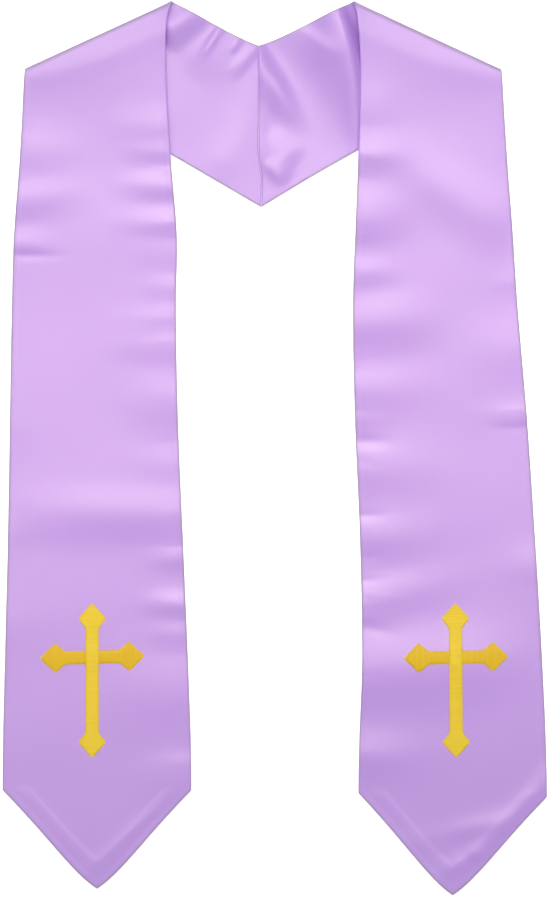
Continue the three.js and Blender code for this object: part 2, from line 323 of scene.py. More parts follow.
def smoothstep(value: Array, low: float, high: float) -> Array:
    """0 below low, 1 above high, and 3t^2 - 2t^3 between."""
    t = np.clip((value - low) / (high - low), 0.0, 1.0)
    return t * t * (3.0 - 2.0 * t)


def table_curve(at: Sequence[float], values: Sequence[float]) -> Callable[[Array], Array]:
    """A smooth curve through a table, with no curvature at its two ends.

    Formula: on each span a cubic whose slopes are half the difference of the neighbouring
    values over their own distance, as a cardinal spline has.

    Args:
        at: The table's positions, ascending.
        values: The value at each position.

    Returns:
        A function that reads the curve at an array of positions.
    """
    x = np.asarray(at, float)
    y = np.asarray(values, float)

    def read(where: Array) -> Array:
        """Read the curve at where, held at its ends."""
        w = np.clip(where, x[0], x[-1])
        i = np.clip(np.searchsorted(x, w, side="right") - 1, 0, len(x) - 2)
        span = x[i + 1] - x[i]
        before = np.where(i > 0, i - 1, i + 1)
        after = np.where(i < len(x) - 2, np.minimum(i + 2, len(x) - 1), i)
        p = (w - x[i]) / span
        weight_before = 0.5 * span / (x[i] - x[before])
        weight_after = 0.5 * span / (x[after] - x[i + 1])
        part_before = weight_before * (-(p**3) + 2 * p**2 - p)
        part_after = weight_after * (p**3 - p**2)
        part_here = (1 + weight_before) * p**3 - (1.5 + 2 * weight_before) * p**2
        part_here += (weight_before - 0.5) * p + 1
        part_next = -(1 + weight_after) * p**3 + (1.5 + weight_after) * p**2 + 0.5 * p
        return part_before * y[before] + part_here * y[i] + part_next * y[i + 1] + part_after * y[after]

    return read


def crease_height(x: Array, down: Array, side: float, crease: Crease) -> Array:
    """Height that one crease adds.

    Formula: a bell exp(-(distance / width)^2) about the crease's line, which is a flat parabola
    where it bends, times a window along it that starts at root, is full by a third of the way,
    and dies out between hold and the far end.
    """
    start = np.array([side * crease.near, crease.near_down])
    along = np.array([side * crease.far, crease.far_down]) - start
    length = float(np.hypot(*along))
    along /= length
    dx, dy = x - start[0], down - start[1]
    run = dx * along[0] + dy * along[1]
    off = -dx * along[1] + dy * along[0]
    share = np.clip(run / length, 0.0, 1.0)
    off = off + 4.0 * crease.bow * share * (1.0 - share)
    window = lerp(crease.root, 1.0, smoothstep(run, -0.1 * length, 0.35 * length))
    window *= 1.0 - smoothstep(run, crease.hold * length, length)
    width = np.where(off > 0.0, crease.back or crease.width, crease.width)
    return crease.rise * np.exp(-((off / width) ** 2)) * window


def settled(height: Array, softness: float = 0.35) -> Array:
    """Keep cloth on the surface: heights below nothing are eased up to just above it."""
    return 0.5 * (height + np.sqrt(height**2 + softness**2))


def full_tent(u: Array) -> Array:
    """The pointed end's outline: a tent over u from 0 to 1, whose sides are a little full."""
    tent = 1.0 - np.abs(2.0 * u - 1.0)
    return tent + POINT_BULGE * tent**3 * (1.0 - tent)


def grid_normals(points: Array, turned: float) -> Array:
    """Unit normals of a grid of points, from the cross product of its two directions."""
    along = np.gradient(points, axis=0)
    across = np.gradient(points, axis=1)
    normals = np.cross(along, across) * turned
    return normals / np.maximum(np.linalg.norm(normals, axis=2, keepdims=True), 1e-9)


def grid_quads(rows: int, columns: int, offset: int, turned: bool) -> Array:
    """The quads between the neighbours of a grid, as rows of four vertex numbers."""
    number = np.arange(rows * columns).reshape(rows, columns) + offset
    quads = np.stack([number[:-1, :-1], number[1:, :-1], number[1:, 1:], number[:-1, 1:]], -1)
    quads = quads.reshape(-1, 4)
    return quads[:, ::-1] if turned else quads


def rim_quads(rows: int, columns: int, turned: bool) -> Array:
    """The quads that close a shell round the edge of its two grids."""
    number = np.arange(rows * columns).reshape(rows, columns)
    rim = np.concatenate([number[:, 0], number[-1, 1:], number[-2::-1, -1], number[0, -2:0:-1]])
    following = np.roll(rim, -1)
    layer = rows * columns
    quads = np.stack([rim, following, following + layer, rim + layer], -1)
    return quads[:, ::-1] if turned else quads


# ------------------------------------------------------------------ meshes


def add_mesh(
    name: str, points: Array, quads: Array, uv: Array, marks: dict[str, Array]
) -> bpy.types.Object:
    """Put arrays into a new smooth mesh object at the origin.

    Args:
        name: The object's name.
        points: Vertices in millimetres, one row each.
        quads: Four vertex numbers for each face.
        uv: Two texture coordinates for each vertex, in metres on the cloth.
        marks: Values for each vertex, by attribute name.

    Returns:
        The linked object.
    """
    mesh = bpy.data.meshes.new(name)
    mesh.vertices.add(len(points))
    mesh.vertices.foreach_set("co", (points * MM).astype(np.float32).ravel())
    mesh.loops.add(quads.size)
    mesh.loops.foreach_set("vertex_index", quads.astype(np.int32).ravel())
    mesh.polygons.add(len(quads))
    mesh.polygons.foreach_set("loop_start", np.arange(0, quads.size, 4, dtype=np.int32))
    mesh.polygons.foreach_set("use_smooth", np.ones(len(quads), bool))
    mesh.update(calc_edges=True)
    layer = mesh.uv_layers.new(name="cloth")
    layer.data.foreach_set("uv", uv[quads.ravel()].astype(np.float32).ravel())
    for mark, values in marks.items():
        attribute = mesh.attributes.new(mark, "FLOAT", "POINT")
        attribute.data.foreach_set("value", values.astype(np.float32).ravel())
    mesh.validate()
    made = bpy.data.objects.new(name, mesh)
    bpy.context.collection.objects.link(made)
    return made


def add_shell(
    name: str, inner: Array, outer: Array, uv: Array, marks: dict[str, Array], turned: bool
) -> bpy.types.Object:
    """Close two grids of points into one thin shell.

    Args:
        name: The object's name.
        inner: The grid on the shell's inner side.
        outer: The grid on its outer side.
        uv: Texture coordinates of the grid, in metres.
        marks: Grid values by attribute name, used on both sides.
        turned: Whether the faces have to be turned round to point outwards.

    Returns:
        The linked object.
    """
    rows, columns = inner.shape[:2]
    layer = rows * columns
    points = np.concatenate([inner.reshape(-1, 3), outer.reshape(-1, 3)])
    quads = np.concatenate(
        [
            grid_quads(rows, columns, 0, not turned),
            grid_quads(rows, columns, layer, turned),
            rim_quads(rows, columns, turned),
        ]
    )
    both = {mark: np.concatenate([values.ravel(), values.ravel()]) for mark, values in marks.items()}
    flat_uv = uv.reshape(-1, 2)
    return add_mesh(name, points, quads, np.concatenate([flat_uv, flat_uv]), both)


# ------------------------------------------------------------------ shader maths


class Value:
    """A shader socket that can be written in Python expressions."""

    def __init__(self, graph: "Graph", socket: Any) -> None:
        """Wrap a node's output socket."""
        self.graph = graph
        self.socket = socket

    def __add__(self, other: Any) -> "Value":
        """Sum."""
        return self.graph.math("ADD", self, other)

    def __radd__(self, other: Any) -> "Value":
        """Sum, with the number on the left."""
        return self.graph.math("ADD", other, self)

    def __sub__(self, other: Any) -> "Value":
        """Difference."""
        return self.graph.math("SUBTRACT", self, other)

    def __mul__(self, other: Any) -> "Value":
        """Product."""
        return self.graph.math("MULTIPLY", self, other)

    def clamped(self) -> "Value":
        """The value held between 0 and 1."""
        return self.graph.node("ShaderNodeClamp", {}, {"Value": self})


class Graph:
    """A new material's node tree, with one method that adds any node."""

    def __init__(self, name: str) -> None:
        """Make the material and its Principled shader."""
        self.material = bpy.data.materials.new(name)
        self.material.use_nodes = True
        self.tree = self.material.node_tree
        self.tree.nodes.clear()
        self.surface = self.tree.nodes.new("ShaderNodeBsdfPrincipled")
        output = self.tree.nodes.new("ShaderNodeOutputMaterial")
        self.tree.links.new(self.surface.outputs["BSDF"], output.inputs["Surface"])

    def node(
        self, kind: str, settings: dict[str, Any], inputs: dict[Any, Any], output: Any = 0
    ) -> Value:
        """Add a node.

        Args:
            kind: Its type, such as ShaderNodeTexNoise.
            settings: Its own settings, which are set first.
            inputs: Values or links for its sockets, by name or number.
            output: The output socket that is returned.

        Returns:
            The node's output.
        """
        node = self.tree.nodes.new(kind)
        for key, setting in settings.items():
            setattr(node, key, setting)
        for key, given in inputs.items():
            if isinstance(given, Value):
                self.tree.links.new(given.socket, node.inputs[key])
            else:
                node.inputs[key].default_value = given
        return Value(self, node.outputs[output])

    def math(self, operation: str, first: Any, second: Any) -> Value:
        """A Math node on values or numbers."""
        return self.node("ShaderNodeMath", {"operation": operation}, {0: first, 1: second})

    def mix(self, share: Any, first: Any, second: Any) -> Value:
        """A colour mix, from first at 0 to second at 1."""
        inputs = {0: share, 6: first, 7: second}
        return self.node("ShaderNodeMix", {"data_type": "RGBA"}, inputs, 2)

    def uv(self, scale: tuple[float, float]) -> Value:
        """The piece's own cloth coordinates, stretched by scale."""
        coordinates = self.node("ShaderNodeUVMap", {"uv_map": "cloth"}, {})
        inputs = {0: coordinates, 1: (scale[0], scale[1], 1.0)}
        return self.node("ShaderNodeVectorMath", {"operation": "MULTIPLY"}, inputs)

    def mark(self, name: str) -> Value:
        """One of the piece's own attributes."""
        return self.node("ShaderNodeAttribute", {"attribute_name": name}, {}, "Fac")

    def noise(self, where: Value, scale: float, detail: float = 2.0) -> Value:
        """Noise about one half."""
        inputs = {"Vector": where, "Scale": scale, "Detail": detail}
        return self.node("ShaderNodeTexNoise", {}, inputs, "Fac")

    def bump(self, height: Value, distance: float, strength: float = 1.0) -> Value:
        """A normal from a height."""
        inputs = {"Height": height, "Distance": distance, "Strength": strength}
        return self.node("ShaderNodeBump", {}, inputs, "Normal")

    def finish(self, links: dict[str, Value], fixed: dict[str, Any]) -> bpy.types.Material:
        """Feed the Principled shader: links for what varies, and fixed values for the rest."""
        for key, value in fixed.items():
            self.surface.inputs[key].default_value = value
        for key, link in links.items():
            self.tree.links.new(link.socket, self.surface.inputs[key])
        return self.material


@dataclass(frozen=True)
class SatinFinish:
    """Lavender satin: fine floats along the strip, a soft sheen, and painted shade along the edges, the
    shoulder fold and the seam.
    """

    name: str = "lavender_satin"
    colour: tuple[float, float, float] = (0.475, 0.215, 0.785)
    roughness: float = 0.5
    sheen: float = 0.1
    specular: float = 0.5
    index: float = 2.6

    def make(self) -> bpy.types.Material:
        """Build the material."""
        graph = Graph(self.name)
        mottle = graph.noise(graph.uv((1.0, 1.0)), 9.0, 3.0)
        floats = graph.noise(graph.uv((5200.0, 420.0)), 1.0, 1.0)
        picks = graph.noise(graph.uv((500.0, 3800.0)), 1.0, 1.0)
        deep = (*[part * 0.95 for part in self.colour], 1.0)
        light = (*[min(1.0, part * 1.05) for part in self.colour], 1.0)
        tone = (mottle * 0.8 + floats * 0.35 - 0.1).clamped()
        base = graph.mix(tone, deep, light)
        # painted shade: a greyer, darker violet mixed in by the edge mark along the outline, the
        # shoulder fold and the seam
        painted_shade = (self.colour[0] * 0.62, self.colour[1] * 0.86, self.colour[2] * 0.52, 1.0)
        base = graph.mix(graph.mark("edge") * 0.9, base, painted_shade)
        roughness = self.roughness - 0.05 + mottle * 0.06 + floats * 0.04
        relief = graph.bump(floats + picks * 0.5, 0.00002, 0.35)
        fixed = {
            "Sheen Weight": self.sheen,
            "Sheen Roughness": 0.35,
            "Sheen Tint": (0.96, 0.86, 1.0, 1.0),
            "Specular IOR Level": self.specular,
            "IOR": self.index,
        }
        links = {"Base Color": base, "Roughness": roughness, "Normal": relief}
        return graph.finish(links, fixed)


@dataclass(frozen=True)
class ThreadFinish:
    """Glossy embroidery thread, a little different from stitch to stitch, with painted shade where
    neighbouring threads meet.
    """

    name: str
    colour: tuple[float, float, float]
    shade: tuple[float, float, float]
    roughness: float = 0.42

    def make(self) -> bpy.types.Material:
        """Build the material."""
        graph = Graph(self.name)
        stitch = graph.mark("stitch")
        twist = graph.noise(graph.uv((900.0, 5200.0)), 1.0, 1.0)
        tone = (stitch * 0.45 + twist * 0.3 + 0.15).clamped()
        base = graph.mix(tone, (*self.shade, 1.0), (*self.colour, 1.0))
        # painted shade: a darker gold where neighbouring threads meet
        base = graph.mix(graph.mark("groove_shade") * 0.55, base, (*[c * 0.6 for c in self.shade], 1.0))
        relief = graph.bump(twist, 0.00003, 0.4)
        fixed = {
            "Sheen Weight": 0.05,
            "Sheen Roughness": 0.4,
            "Specular IOR Level": 0.35,
        }
        links = {"Base Color": base, "Roughness": self.roughness + twist * 0.08, "Normal": relief}
        return graph.finish(links, fixed)


@dataclass(frozen=True)
class PaperFinish:
    """The plain pale surface that the stole lies on, lit a little from below as a light table."""

    name: str = "pale_surface"
    colour: tuple[float, float, float] = (0.93, 0.93, 0.935)
    glow: float = 0.5

    def make(self) -> bpy.types.Material:
        """Build the material."""
        graph = Graph(self.name)
        where = graph.node("ShaderNodeTexCoord", {}, {}, "Object")
        grain = graph.noise(where, 60.0, 3.0)
        dull = (*[part * 0.985 for part in self.colour], 1.0)
        base = graph.mix(grain, dull, (*self.colour, 1.0))
        fixed = {
            "Roughness": 0.9,
            "Specular IOR Level": 0.1,
            "Emission Color": (1.0, 1.0, 1.0, 1.0),
            "Emission Strength": self.glow,
        }
        return graph.finish({"Base Color": base}, fixed)


# ------------------------------------------------------------------ one half of the stole


@dataclass
class Strip:
    """One bagged-out strip, from the centre back seam over the shoulder to its point."""

    sizes: HalfSizes
    edge_steps: tuple[float, ...] = (0, 0.1, 0.3, 0.65, 1.1, 1.7, 2.6, 3.6, 4.6, 5.6, 7.0, 9.0)
    middle_columns: int = 64
    yoke_rows: int = 92
    roll_rows: int = 14
    front_rows: int = 400

    def __post_init__(self) -> None:
        """Work out the fold line, the seam line and the outline's curves."""
        s = self.sizes
        downs = [row.down for row in s.outline]
        self.inner_curve = table_curve(downs, [row.inner for row in s.outline])
        self.outer_curve = table_curve(downs, [row.outer for row in s.outline])
        neck = np.array([s.side * s.neck_corner[0], s.neck_corner[1]])
        shoulder = np.array([s.side * s.shoulder_corner[0], s.shoulder_corner[1]])
        fold = (shoulder - neck) / np.linalg.norm(shoulder - neck)
        self.across = np.array([-fold[1], fold[0]]) * s.side
        self.neck = neck + self.across * SATIN_STACK
        self.shoulder = shoulder + self.across * SATIN_STACK
        self.fold_length = float(np.linalg.norm(self.shoulder - self.neck))
        self.fold = (self.shoulder - self.neck) / self.fold_length
        seam_downs, seam_outs = zip(*SEAM_PATH)
        self.seam_curve = table_curve(seam_downs, seam_outs)
        self.seam_span = (seam_downs[0], seam_downs[-1])
        self.radius_curve = table_curve(*zip(*ROLL_RADIUS))
        self.crest_curve = table_curve(*zip(*ROLL_CREST))
        self.slope_curve = table_curve(*zip(*ROLL_SLOPE))
        hem = np.array([seam_outs[-1], seam_downs[-1]]) - self.shoulder
        hem /= np.linalg.norm(hem)
        self.past_hem = np.array([-hem[1], hem[0]]) * -s.side

    def from_fold(self, plan: Array) -> Array:
        """Distance of plan points from the shoulder fold."""
        return (plan - self.neck) @ self.across

    def along_fold(self, plan: Array) -> Array:
        """How far plan points are along the shoulder fold, from 0 at the neck to 1."""
        return np.clip((plan - self.neck) @ self.fold / self.fold_length, 0.0, 1.0)

    def yoke_plan(self, u: Array, share: Array) -> Array:
        """The back yoke's plan: share 0 is the shoulder fold, 1 the centre back seam.

        Formula: straight lines from the fold to the seam, with a sine dip in both edges.
        """
        fold = lerp(self.neck, self.shoulder, u[..., None])
        seam_down = lerp(*self.seam_span, u)
        seam_out = self.seam_curve(seam_down) + self.sizes.side * SEAM_GAP / 2.0
        plan = lerp(fold, np.stack([seam_out, seam_down], -1), share[..., None])
        plan[..., 1] += lerp(self.sizes.neck_dip, self.sizes.hem_dip, u) * np.sin(np.pi * share**2)
        return plan

    def front_edges(self, share: Array) -> tuple[Array, Array]:
        """The inner and outer edge points of the front at a share of its length."""
        s = self.sizes
        inner_down = s.inner_corner * share
        outer_down = lerp(s.shoulder_corner[1], s.outer_corner, share)
        inner = np.stack([s.side * self.inner_curve(inner_down), inner_down], -1)
        outer = np.stack([s.side * self.outer_curve(outer_down), outer_down], -1)
        settle = (1.0 - smoothstep(share, 0.0, 0.02))[..., None]
        return lerp(inner, self.neck, settle), lerp(outer, self.shoulder, settle)

    def front_plan(self, u: Array, share: Array) -> Array:
        """The front's plan: share 0 is the shoulder fold, 1 the pointed end.

        Formula: straight rows between the two edges, which bend into chevrons towards the
        point, each chevron a tent whose sides are a little full.
        """
        inner, outer = self.front_edges(share)
        plan = lerp(inner, outer, u[..., None])
        plan[..., 1] += self.sizes.point * full_tent(u) * smoothstep(share, CHEVRON_FROM, 1.0)
        return plan

    def creases(self, plan: Array, table: Sequence[Crease]) -> Array:
        """The summed height of a table of creases, before fullness."""
        x, down = plan[..., 0], plan[..., 1]
        return sum(crease_height(x, down, self.sizes.side, crease) for crease in table)

    def puckers(self, plan: Array) -> Array:
        """Short uneven puckers along the two sewn edges of the front.

        Formula: for each seeded place on an edge, a narrow bell across the edge's direction
        that dies out as it runs in from the edge.
        """
        rng = np.random.default_rng(self.sizes.pucker_seed)
        x, down = np.abs(plan[..., 0]), plan[..., 1]
        from_inner = x - self.inner_curve(down)
        from_outer = self.outer_curve(down) - x
        height = np.zeros_like(x)
        edges = ((from_inner, *INNER_PUCKERS), (from_outer, *OUTER_PUCKERS))
        for inward, count, strength in edges:
            places = rng.uniform(*PUCKER_SPAN, count)
            widths = rng.uniform(2.2, 5.5, count)
            reaches = rng.uniform(7.0, 26.0, count)
            rises = rng.uniform(-1.0, 1.0, count) * strength
            slants = rng.uniform(-0.25, 0.25, count)
            for place, width, reach, rise, slant in zip(places, widths, reaches, rises, slants):
                off = (down - place - slant * inward) / width
                height += rise * np.exp(-(off**2) - np.maximum(inward, 0.0) / reach)
        return height

    def drift(self, plan: Array) -> Array:
        """A slow unevenness of the whole cloth: three crossing waves of a fifth of a millimetre."""
        x, down = plan[..., 0], plan[..., 1]
        turn = self.sizes.pucker_seed
        waves = np.sin(down / 17.0 + x / 61.0 + turn) + np.sin(down / 29.0 - x / 43.0 + 2 * turn)
        return DRIFT_RISE * (waves + np.sin(x / 23.0 + down / 88.0 + turn))

    def hem_rise(self, plan: Array) -> Array:
        """The turned band along the pointed end: it rises from the edge to a soft ridge.

        Formula: with e the distance in from the slanted edge, a ramp up to the ridge at the
        band's width, and a smooth step down past it or above the two corners.
        """
        e = self.from_point(plan)
        band = self.sizes.hem_band
        above = self.sizes.inner_corner - HEM_CORNER - plan[..., 1]
        past = np.maximum(e - band, above)
        return HEM_RISE * smoothstep(e, 1.0, band) * (1.0 - smoothstep(past, 0.0, HEM_STEP))

    def from_point(self, plan: Array) -> Array:
        """Distance in from the slanted edges of the point, from the height of the end row."""
        s = self.sizes
        inner, outer = self.front_edges(np.ones(1))
        u = np.clip((plan[..., 0] - inner[0, 0]) / (outer[0, 0] - inner[0, 0]), 0.0, 1.0)
        end = lerp(s.inner_corner, s.outer_corner, u) + s.point * full_tent(u)
        return (end - plan[..., 1]) * POINT_SQUARE

    def yoke_height(self, plan: Array) -> Array:
        """Height of the yoke's middle: a half roll at the fold, then the surface with creases."""
        s = self.sizes
        d = self.from_fold(plan)
        radius = self.radius_curve(self.along_fold(plan))
        wide = lerp(LOOP_OPEN, 1.0, smoothstep(self.along_fold(plan), 0.0, LOOP_CLOSES))
        inside = np.clip(d / wide, 0.0, radius)
        roll = radius - np.sqrt(radius**2 - (radius - inside) ** 2)
        under = np.abs(plan[..., 0]) - self.inner_curve(plan[..., 1])
        clear = 1.0 - smoothstep(under, *UNDER_FRONT)
        from_seam = plan[..., 0] - self.seam_curve(plan[..., 1])
        lip = s.seam_lip * np.exp(-((from_seam / SEAM_LIP_WIDTH) ** 2))
        folds = YOKE_FULLNESS * self.creases(plan, s.yoke_creases) + self.drift(plan) + lip
        return SATIN_STACK + roll + settled((folds + YOKE_BED) * clear)

    def front_height(self, plan: Array) -> Array:
        """Height of the front's middle: half a roll, a slope off it, then the laid front."""
        d = self.from_fold(plan)
        radius = self.radius_curve(self.along_fold(plan))
        inside = np.clip(d, 0.0, radius)
        roll = radius + np.sqrt(radius**2 - (radius - inside) ** 2)
        past = (plan - self.shoulder) @ self.past_hem
        held = OVER_YOKE * (1.0 - smoothstep(past, 0.0, YOKE_FADE))
        crest = self.crest_curve(self.along_fold(plan))
        slope = np.maximum(d - crest, 0.0) / self.slope_curve(self.along_fold(plan))
        fade = 1.0 - (1.0 + slope) * np.exp(-slope)
        swell = np.exp(-(((d - crest - 2.0) / ROLL_BULGE_WIDTH) ** 2))
        swell *= np.clip(crest / CREST_FULL, 0.3, 1.4)
        swell *= ROLL_BULGE * smoothstep(d, 0.5 * ROLL_REACH, 2.5 * ROLL_REACH)
        folds = FRONT_FULLNESS * self.creases(plan, self.sizes.front_creases) + self.puckers(plan)
        laid = lerp(2.0 * radius, held, fade) + swell
        laid = laid + fade * settled(folds + self.drift(plan) + BED) + self.hem_rise(plan)
        return SATIN_STACK + np.where(d < radius, roll, laid)

    def shares(self, rows: int, extra: Array) -> Array:
        """Row positions between the roll's top, at 0, and the end, at 1."""
        return np.unique(np.concatenate([np.linspace(0.0, 1.0, rows + 1)[1:], extra]))

    def column_grid(self, widths: Array) -> Array:
        """Shares across the strip for rows of the given widths: dense at the sewn edges."""
        steps = np.array(self.edge_steps)
        near = steps / widths[:, None]
        middle = np.linspace(0.0, 1.0, self.middle_columns + 1)[1:-1]
        start = steps[-1] / widths[:, None]
        inside = lerp(start, 1.0 - start, middle[None, :])
        return np.concatenate([near, inside, 1.0 - near[:, ::-1]], axis=1)

    def surface(self) -> tuple[Array, Array, Array]:
        """The strip's middle as a grid from the seam to the tip.

        Returns:
            The grid of points, the distance of each from the nearest sewn edge, and the cloth
            coordinates of each in metres.
        """
        angles = np.linspace(0.0, np.pi / 2.0, self.roll_rows + 1)
        roll_distance = ROLL_REACH * (1.0 - np.cos(angles))
        hem_shares = 1.0 - np.array(END_ROWS) / FRONT_RUN
        seam_shares = 1.0 - np.array(END_ROWS) / YOKE_RUN
        parts = []
        for plan_of, height_of, rows, extra in (
            (self.yoke_plan, self.yoke_height, self.yoke_rows, seam_shares),
            (self.front_plan, self.front_height, self.front_rows, hem_shares),
        ):
            later = self.shares(rows, extra)
            row_count = len(roll_distance) + len(later)
            width_at = np.concatenate([np.zeros(len(roll_distance)), later])
            ends = [plan_of(np.full(row_count, end), width_at) for end in (0.0, 1.0)]
            widths = np.linalg.norm(ends[1] - ends[0], axis=1)
            u = self.column_grid(widths)
            probe = 0.01
            reach = self.from_fold(plan_of(u[:1], np.full_like(u[:1], probe))) / probe
            roll_share = roll_distance[:, None] / reach
            rest_share = lerp(roll_share[-1:], 1.0, later[:, None])
            share = np.concatenate([roll_share, rest_share])
            plan = plan_of(u, share)
            points = np.stack([plan[..., 0], HALF_LENGTH - plan[..., 1], height_of(plan)], -1)
            from_edge = np.minimum(u, 1.0 - u) * widths[:, None]
            parts.append((points, from_edge, plan))
        yoke, front = parts
        seam_side = np.abs(yoke[2][..., 0] - yoke[2][-1:, :, 0])
        yoke_edge = np.minimum(yoke[1], seam_side)
        front_edge = np.minimum(front[1], np.maximum(self.from_point(front[2]), 0.0))
        front_edge[-1] = 0.0
        points = np.concatenate([yoke[0][::-1], front[0][1:]])
        edge = np.concatenate([yoke_edge[::-1], front_edge[1:]])
        steps = np.linalg.norm(np.diff(points, axis=0), axis=2)
        along = np.concatenate([np.zeros((1, points.shape[1])), np.cumsum(steps, axis=0)])
        across = np.linalg.norm(points - points[:, :1], axis=2)
        return points, edge, np.stack([across, along], -1) * MM

    def layer_offset(self, edge: Array) -> Array:
        """How far a satin layer's outer side is from the strip's middle.

        Formula: a quarter ellipse from the seam up to the full stack over the pressed edge,
        and a low plateau over the seam allowance.
        """
        t = np.clip(edge / PRESSED_EDGE, 0.0, 1.0)
        rolled = lerp(SEAM_MEETING, SATIN_STACK, np.sqrt(1.0 - (1.0 - t) ** 2))
        plateau = smoothstep(edge, 0.3, 1.8) * (1.0 - smoothstep(edge, 4.0, ALLOWANCE_WIDTH + 1.0))
        on_front = np.arange(len(edge)) > len(edge) - self.front_rows
        return rolled + ALLOWANCE_RISE * plateau * np.where(on_front, 1.0, 0.25)[:, None]

    def make_layer(self, layer: Layer, satin: bpy.types.Material) -> bpy.types.Object:
        """Build the face or the lining as one closed thin shell."""
        points, edge, uv = self.surface()
        turned = self.sizes.side < 0
        normals = grid_normals(points, -1.0 if turned else 1.0)
        offset = self.layer_offset(edge)[..., None]
        thin = np.minimum(offset - LEAST_PLY, PLY_INSIDE)
        inside = points + normals * layer.value * thin
        outside = points + normals * layer.value * offset
        outside[..., 2] = np.maximum(outside[..., 2], FLOOR_CLEAR)
        name = f"{self.sizes.name}_{layer.name.lower()}_satin"
        # painted shade along the outline edges, the shoulder fold and the seam, carried by the edge
        # mark
        painted_shade = self.rim(points)
        turned_over = turned if layer is Layer.FACE else not turned
        made = add_shell(name, inside, outside, uv, {"edge": painted_shade}, turned_over)
        made.data.materials.append(satin)
        return made

    def rim(self, points: Array) -> Array:
        """Where shade is painted on the satin: at edges that end on the bare surface, the fold and the
        seam.

        Formula: one less a smooth step in from each of them, whichever is largest. The front's
        inner edge over the yoke stays clear.
        """
        plan = np.stack([points[..., 0], HALF_LENGTH - points[..., 1]], -1)
        down = plan[..., 1]
        seam_rows = self.yoke_rows + self.roll_rows
        steps = np.linalg.norm(np.diff(points, axis=1), axis=2)
        across = np.concatenate([np.zeros((len(points), 1)), np.cumsum(steps, axis=1)], axis=1)
        edge = np.minimum(across, across[:, -1:] - across)
        on_front = (np.arange(len(points)) > seam_rows)[:, None]
        inner_side = across < 0.5 * across[:, -1:]
        over_yoke = on_front & inner_side
        edge = edge + np.where(over_yoke, 4.0 * (1.0 - smoothstep(down, *OFF_YOKE)), 0.0)
        edge = np.where(on_front, np.minimum(edge, np.maximum(self.from_point(plan), 0.0)), edge)
        fold = 1.0 - smoothstep(self.from_fold(plan), *FOLD_RIM)
        from_seam = np.abs(plan[..., 0] - self.seam_curve(down))
        seam = np.where(on_front, 0.0, SEAM_PAINTED_SHADE * (1.0 - smoothstep(from_seam, *SEAM_RIM)))
        return np.maximum(np.maximum(1.0 - smoothstep(edge, *EDGE_RIM), fold), seam)

    def flat_cut(self) -> tuple[float, float, float]:
        """Width, length and area of the flat cut, in metres."""
        points, _, uv = self.surface()
        a = points[1:, 1:] - points[:-1, :-1]
        b = points[:-1, 1:] - points[1:, :-1]
        area = 0.5 * np.linalg.norm(np.cross(a, b), axis=2).sum() * MM * MM
        middle = uv[:, uv.shape[1] // 2, 1]
        return CUT_WIDTH, float(middle[-1]), float(area)

    def build(self, satin: bpy.types.Material) -> None:
        """Make and place both layers, under the root body, and hide the model's parts that they stand
        for.
        """
        width, length, area = self.flat_cut()
        for layer in Layer:
            made = self.make_layer(layer, satin)
            node = f"{self.sizes.name}_{layer.name.lower()}"
            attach(made, "root")
            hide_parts(node)
            LOG.info("%s: %d faces, cut %.3f square metres", made.name, len(made.data.polygons), area)


# ------------------------------------------------------------------ embroidered crosses


